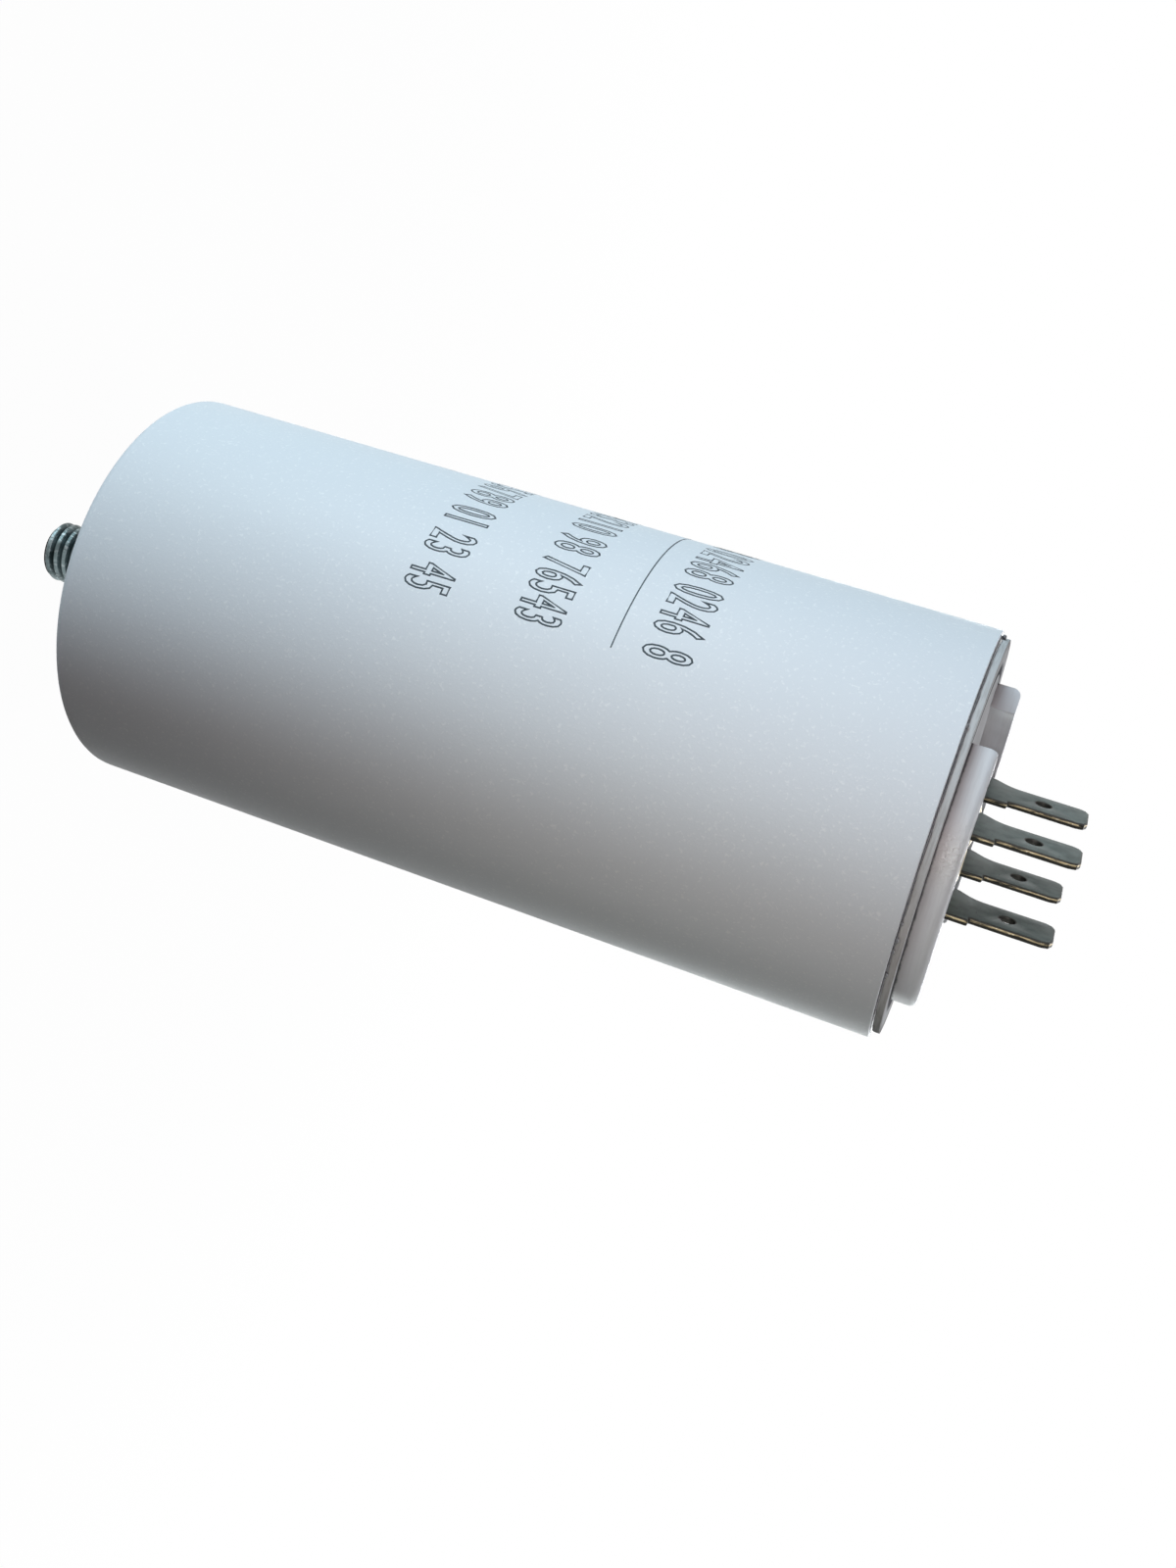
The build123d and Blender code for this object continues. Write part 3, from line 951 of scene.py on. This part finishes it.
left = TERMINAL_X - BLADE_HALF_WIDTH
right = TERMINAL_X + BLADE_HALF_WIDTH
foot_middle = TERMINAL_X + SEAT_SHIFT
foot_width = 2 * BLADE_HALF_WIDTH + INNER_SHOULDER + OUTER_SHOULDER
clear_hands()
bpy.ops.mesh.primitive_plane_add(size=MM, location=(foot_middle * MM, 0, FOOT_Z * MM))
bpy.context.object.scale = (foot_width, 2 * BLADE_Y, 1)
terminal_a = take_up("blade_terminal_a")
pick(terminal_a, "EDGE", lambda edge: abs(abs(middle(edge).y) - BLADE_Y) < 0.01)
for lift in (CURVE_START - FOOT_Z, SHOULDER_Z - CURVE_START, TIP_Z - SHOULDER_Z):
    bpy.ops.mesh.extrude_region_move(TRANSFORM_OT_translate={"value": (0, 0, lift * MM)})
pick_all(terminal_a)
bpy.ops.mesh.bisect(plane_co=(right * MM, 0, 0), plane_no=(1, 0, 0))
pick(terminal_a, "FACE", lambda face: middle(face).x > right and middle(face).z > SHOULDER_Z)
bpy.ops.mesh.delete(type="FACE")
pick(terminal_a, "VERT", lambda corner: middle(corner).x < left and middle(corner).z > SHOULDER_Z - 0.1)
bpy.ops.transform.translate(value=(INNER_SHOULDER * MM, 0, 0))
pick_all(terminal_a)
bpy.ops.mesh.dissolve_limited(angle_limit=radians(1))
bpy.ops.object.mode_set(mode="OBJECT")
say(terminal_a)


def round_corners(piece, corner_x, corner_z, size, segments):
    """Round or cut the corner at one place on both blades."""
    found = pick(
        piece,
        "VERT",
        lambda corner: abs(middle(corner).x - corner_x) < 0.02 and abs(middle(corner).z - corner_z) < 0.02,
    )
    bpy.ops.mesh.bevel(offset=size * MM, offset_type="OFFSET", segments=segments, affect="VERTICES")
    bpy.ops.object.mode_set(mode="OBJECT")
    print("corners shaped:", found)


round_corners(terminal_a, left, SHOULDER_Z, 1.0, 5)
round_corners(terminal_a, left - INNER_SHOULDER, CURVE_START, 0.6, 4)
round_corners(terminal_a, right + OUTER_SHOULDER, SHOULDER_Z, 0.25, 3)
for tip_side in (left, right):
    round_corners(terminal_a, tip_side, TIP_Z, 1.2, 2)

# %% [markdown]
# Now the foot is bent and the sheet gets its thickness. The holes are drilled through both blades at
# once with a cylinder, as one punch would do it, and the last bevel rounds every stamped edge. That
# bevel can put its faces in a material slot of their own, which is how the near-black line on the
# rounded edges is made.

# %% Terminal solid
pick(
    terminal_a,
    "EDGE",
    lambda edge: abs(middle(edge).z - FOOT_Z) < 0.01 and abs(abs(middle(edge).y) - BLADE_Y) < 0.01,
)
bpy.ops.mesh.bevel(offset=BEND_RADIUS * MM, segments=8, affect="EDGES", clamp_overlap=False)
tidy_mesh(terminal_a)
modify(terminal_a, "SOLIDIFY", thickness=SHEET * MM, offset=0.0, use_even_offset=True)
clear_hands()
bpy.ops.mesh.primitive_cylinder_add(
    vertices=28,
    radius=HOLE_RADIUS * MM,
    depth=16 * MM,
    location=(TERMINAL_X * MM, 0, HOLE_Z * MM),
    rotation=(radians(90), 0, 0),
)
combine(terminal_a, take_up("blade_drill"), "DIFFERENCE")
clear_hands()
bpy.ops.mesh.primitive_cylinder_add(
    vertices=28, radius=RIVET_RADIUS * MM, depth=2 * MM, location=(TERMINAL_X * MM, 0, FOOT_Z * MM)
)
combine(terminal_a, take_up("foot_drill"), "DIFFERENCE")
for slot_material in (tin_material, edge_material, dark_edge_and_hole_shade):
    terminal_a.data.materials.append(slot_material)


def is_stamped(face):
    """True for the cut sides of the strip and its tips."""
    return abs(face.normal.x) > 0.5 or (middle(face).z > SHOULDER_Z and abs(face.normal.y) < 0.5)


def is_hole_wall(face):
    """True for the walls of the blade holes."""
    off_hole = Vector((middle(face).x - TERMINAL_X, middle(face).z - HOLE_Z)).length
    return off_hole < HOLE_RADIUS + 0.1 and abs(face.normal.y) < 0.5


for slot_number, is_wanted in ((1, is_stamped), (2, is_hole_wall)):
    pick(terminal_a, "FACE", is_wanted)
    terminal_a.active_material_index = slot_number
    bpy.ops.object.material_slot_assign()
    bpy.ops.object.mode_set(mode="OBJECT")
soften(terminal_a, 0.18, angle=50, segments=2, material=2)
say(terminal_a)


def copy_to_other_pole(piece, name):
    """A copy with its own mesh, moved to the other terminal's place."""
    hold(piece)
    bpy.ops.object.duplicate()
    twin = bpy.context.object
    twin.location.x -= 2 * TERMINAL_X * MM
    bpy.ops.object.transform_apply(location=True, rotation=True, scale=True)
    twin.name = name
    twin.data.name = name
    return twin


terminal_b = copy_to_other_pole(terminal_a, "blade_terminal_b")
for terminal, node_name in ((terminal_a, "terminal_a"), (terminal_b, "terminal_b")):
    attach(terminal, "root")
    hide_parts(node_name)

# %% [markdown]
# A tubular rivet holds each terminal down. Its head is rolled over to a low dome with a dimple in the
# middle, and its tail is flared under the lug inside. It is turned from one line, like a part on a
# lathe.

# %% Rivets
RIVET_STEPS = 40
RIVET_BORE = 0.9
RIVET_BORE_TOP = 103.65
RIVET_TAIL = 102.15
FLARE_RADIUS = 2.5
FLARE_TOP = 102.95
FLARE_CHAMFER = 0.4
RIVET_HEAD_RADIUS = 3.0

shank = RIVET_RADIUS - 0.02
under_head = SEAT_TOP + SHEET
rivet_a = draw_line(
    "tubular_rivet_a",
    [
        (0, RIVET_BORE_TOP),
        (RIVET_BORE, RIVET_BORE_TOP),
        (RIVET_BORE, RIVET_TAIL),
        (FLARE_RADIUS - FLARE_CHAMFER, RIVET_TAIL),
        (FLARE_RADIUS, RIVET_TAIL + FLARE_CHAMFER),
        (FLARE_RADIUS, FLARE_TOP),
        (shank, FLARE_TOP),
        (shank, under_head),
        (RIVET_HEAD_RADIUS, under_head),
        (RIVET_HEAD_RADIUS, under_head + 0.25),
        (RIVET_HEAD_RADIUS - 0.4, under_head + 0.6),
        (RIVET_HEAD_RADIUS - 1.3, under_head + 0.79),
        (RIVET_HEAD_RADIUS - 1.9, under_head + 0.75),
        (RIVET_HEAD_RADIUS - 2.2, under_head + 0.45),
        (0, under_head + 0.35),
    ],
)
turn(rivet_a, RIVET_STEPS)
hold(rivet_a)
bpy.ops.transform.translate(value=(TERMINAL_X * MM, 0, 0))
bpy.ops.object.transform_apply(location=True, rotation=True, scale=True)
soften(rivet_a, 0.10, angle=25)

rivet_finish = Finish("rivet_brass")
smudges = rivet_finish.mottle(1.1, detail=4)
turned = rivet_finish.mottle(0.15, detail=2)
rivet_tone = rivet_finish.blend(smudges, colour(0.34, 0.26, 0.13), colour(0.60, 0.52, 0.34))
rivet_material = rivet_finish.done(
    {
        "Base Color": rivet_tone,
        "Metallic": 0.95,
        "Roughness": 0.28 + 0.22 * smudges,
        "Normal": rivet_finish.bump(turned, 0.008),
    }
)
rivet_a.data.materials.append(rivet_material)
rivet_b = copy_to_other_pole(rivet_a, "tubular_rivet_b")
for rivet, node_name in ((rivet_a, "rivet_a"), (rivet_b, "rivet_b")):
    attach(rivet, "root")
    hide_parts(node_name)
say(rivet_a)

# %% [markdown]
# The adhesive between the can and the lid's rim is squeezed out into an uneven thread, with a few beads
# where there was more of it. The thread is a thin torus, pushed in and out by a cloud texture so that
# it is thick in some places and nearly gone in others. The beads are small balls flattened against the
# seam.

# %% Squeezed-out glue
GLUE_HEIGHT = 105.1
GLUE_RADIUS = 24.28
GLUE_HALF_THICKNESS = 0.15

clear_hands()
bpy.ops.mesh.primitive_torus_add(
    major_radius=GLUE_RADIUS * MM,
    minor_radius=GLUE_HALF_THICKNESS * MM,
    major_segments=300,
    minor_segments=10,
    location=(0, 0, GLUE_HEIGHT * MM),
)
glue = take_up("squeezed_glue")
unevenness = bpy.data.textures.new("glue_unevenness", "CLOUDS")
unevenness.noise_scale = 2.2 * MM
unevenness.noise_depth = 2
modify(glue, "DISPLACE", texture=unevenness, strength=0.22 * MM, mid_level=0.55, texture_coords="LOCAL")


def glue_bead(angle, height, size):
    """One flattened drop on the seam, between the can's rim and the side of the flange."""
    reach = GLUE_RADIUS + 0.2
    clear_hands()
    bpy.ops.mesh.primitive_ico_sphere_add(
        subdivisions=3,
        radius=size * MM,
        location=(reach * cos(radians(angle)) * MM, reach * sin(radians(angle)) * MM, height * MM),
        rotation=(0, 0, radians(angle)),
        scale=(0.7, 1.2, 0.7),
    )
    bead = take_up("bead")
    modify(bead, "DISPLACE", texture=unevenness, strength=0.12 * MM, mid_level=0.5, texture_coords="LOCAL")
    return bead


BEADS = (
    (6.0, 105.15, 0.30),
    (10.9, 105.2, 0.34),
    (14.5, 105.1, 0.38),
    (22.4, 105.2, 0.26),
    (-47, 105.1, 0.28),
    (-94, 105.35, 0.42),
    (118, 105.1, 0.36),
    (203, 105.1, 0.32),
)
for bead_angle, bead_height, bead_size in BEADS:
    combine(glue, glue_bead(bead_angle, bead_height, bead_size), "UNION")
tidy_mesh(glue)
hold(glue)
bpy.ops.object.shade_smooth_by_angle(angle=radians(60))

glue_finish = Finish("clear_glue")
cloudy = glue_finish.mottle(0.8, detail=3)
# The glue is coloured dark, which also stands for the shade in the seam between the can and the lid: partly
# painted shade.
glue_and_seam_shade_tone = glue_finish.blend(cloudy, colour(0.035, 0.04, 0.05), colour(0.20, 0.20, 0.21))
glue_material = glue_finish.done(
    {
        "Base Color": glue_and_seam_shade_tone,
        "Roughness": 0.18 + 0.2 * cloudy,
        "Normal": glue_finish.bump(glue_finish.mottle(0.3), 0.02),
        "Coat Weight": 0.3,
    }
)
glue.data.materials.clear()
glue.data.materials.append(glue_material)
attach(glue, "root")
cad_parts["seam_glue"].material_slots[0].material = glue_material
say(glue)

# %% [markdown]
# The can carries three printed rows of tall, narrow, hollow figures in dark ink, with one thin line
# between two of them. A text object with a bevel and no fill gives hollow figures. It is made a mesh,
# pressed nearly flat, and then wrapped round the can by turning its length into an angle.

# %% Print
INK_HEIGHT = 0.02
STROKE = 0.13
WIDEN = 0.04
FIGURE_SHARE = 0.69
FIGURE_SPACING = 1.22
FIGURE_NARROWING = 0.42


def wrap_round(piece, end_angle, base_height):
    """Lay a flat mesh on the can: its length runs round, its height runs up."""
    flat = [corner.co / MM for corner in piece.data.vertices]
    longest = max(spot.x for spot in flat)
    for corner, spot in zip(piece.data.vertices, flat):
        angle = radians(end_angle) + (spot.x - longest) / CAN_RADIUS
        reach = (CAN_RADIUS + spot.z) * MM
        corner.co = (reach * cos(angle), reach * sin(angle), (base_height + spot.y) * MM)
    piece.data.update()


def figure_row(name, figures, end_angle, base_height, tall):
    """A row of hollow figures, tall and narrow."""
    clear_hands()
    bpy.ops.object.text_add(location=(0, 0, 0))
    row = bpy.context.object
    row.name = name
    row.data.body = figures
    row.data.size = tall / FIGURE_SHARE * MM
    row.data.fill_mode = "NONE"
    row.data.resolution_u = 3
    row.data.space_character = FIGURE_SPACING
    bpy.ops.object.convert(target="CURVE")
    row = bpy.context.object
    row.scale = (FIGURE_NARROWING, 1.0, 1.0)
    bpy.ops.object.transform_apply(location=False, rotation=False, scale=True)
    row.data.offset = WIDEN * MM
    row.data.bevel_depth = STROKE * MM
    row.data.bevel_resolution = 0
    bpy.ops.object.convert(target="MESH")
    row = bpy.context.object
    row.scale = (1.0, 1.0, INK_HEIGHT / STROKE)
    row = take_up(name)
    wrap_round(row, end_angle, base_height)
    return row


ink = Finish("printing_ink")
ink_worn = ink.mottle(0.35, detail=3)
ink_tone = ink.blend(ink_worn, colour(0.012, 0.024, 0.034), colour(0.045, 0.065, 0.08))
ink_material = ink.done({"Base Color": ink_tone, "Roughness": 0.5 + 0.15 * ink_worn})

ROWS = (
    ("print_row_lower", "01234 56789 01 23 45", -37.5, 41.0, 5.4),
    ("print_row_middle", "98765 43210 98 76543", -38.0, 54.6, 5.4),
    ("print_row_upper", "02468 02468 0246 8", -38.5, 69.8, 5.6),
)
for row_name, row_figures, row_end, row_base, row_tall in ROWS:
    print_row = figure_row(row_name, row_figures, row_end, row_base, row_tall)
    print_row.data.materials.append(ink_material)
    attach(print_row, "root")
    say(print_row)

# %% [markdown]
# The thin line is a long flat strip, cut into short lengths so that it can follow the can, and wrapped
# the same way as the figures.

# %% Printed line
LINE_START = -125
LINE_END = -37.8
LINE_HEIGHT = 66.35
LINE_WIDTH = 0.16
LINE_CUTS = 60

line_length = radians(LINE_END - LINE_START) * CAN_RADIUS
clear_hands()
bpy.ops.mesh.primitive_cube_add(size=MM, location=(0, 0, 0))
bpy.context.object.scale = (line_length, LINE_WIDTH, 2 * INK_HEIGHT)
print_line = take_up("print_line")
pick(print_line, "EDGE", lambda edge: abs(middle(edge).x) < 0.01)
bpy.ops.mesh.subdivide(number_cuts=LINE_CUTS)
bpy.ops.object.mode_set(mode="OBJECT")
wrap_round(print_line, LINE_END, LINE_HEIGHT)
print_line.data.materials.append(ink_material)
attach(print_line, "root")
say(print_line)

# %% [markdown]
# The pieces inside the sealed can are not seen, but each still gets its own finish, so that the model
# can be opened or cut in another scene. Each is one base tone with the texture of its real material.

# %% Finishes for the inner pieces


def inner_finish(name, dark, light, size, metallic, rough, depth, stretch=(1, 1, 1)):
    """A mottled finish for a piece inside the can."""
    made = Finish(name)
    texture = made.mottle(size, detail=4, stretch=stretch)
    fine = made.mottle(size / 5, detail=2, stretch=stretch)
    tone = made.blend(texture, dark, light)
    relief = made.bump(texture, depth, made.bump(fine, depth / 4))
    return made.done(
        {"Base Color": tone, "Metallic": metallic, "Roughness": rough + 0.15 * fine, "Normal": relief}
    )


INNER_FINISHES = {
    "winding_core": inner_finish(
        "core_plastic", colour(0.10, 0.10, 0.11), colour(0.16, 0.16, 0.17), 3, 0.0, 0.4, 0.01
    ),
    "film_winding": inner_finish(
        "metallised_film", colour(0.55, 0.56, 0.58), colour(0.72, 0.73, 0.74), 4, 0.9, 0.2, 0.01, (1, 1, 12)
    ),
    "end_metal": inner_finish(
        "sprayed_zinc", colour(0.36, 0.37, 0.38), colour(0.56, 0.57, 0.58), 0.5, 0.9, 0.55, 0.06
    ),
    "lead": inner_finish(
        "tinned_wire", colour(0.52, 0.52, 0.51), colour(0.70, 0.70, 0.69), 1.5, 1.0, 0.25, 0.01, (1, 1, 4)
    ),
    "lead_sleeve": inner_finish(
        "sleeve_plastic", colour(0.55, 0.42, 0.06), colour(0.66, 0.52, 0.10), 2, 0.0, 0.45, 0.01
    ),
    "solder_joint": inner_finish(
        "soft_solder", colour(0.50, 0.50, 0.50), colour(0.66, 0.66, 0.65), 0.9, 1.0, 0.3, 0.03
    ),
    "solder_lug": inner_finish(
        "lug_tin", colour(0.34, 0.34, 0.31), colour(0.50, 0.50, 0.46), 1.2, 0.9, 0.35, 0.01
    ),
    "potting_resin": inner_finish(
        "potting_resin", colour(0.14, 0.10, 0.05), colour(0.22, 0.16, 0.08), 8, 0.0, 0.25, 0.02
    ),
}
for node_name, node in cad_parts.items():
    stem = node_name if node_name in INNER_FINISHES else node_name.rpartition("_")[0]
    if stem in INNER_FINISHES:
        node.material_slots[0].material = INNER_FINISHES[stem]
        print(node_name, "gets", INNER_FINISHES[stem].name)
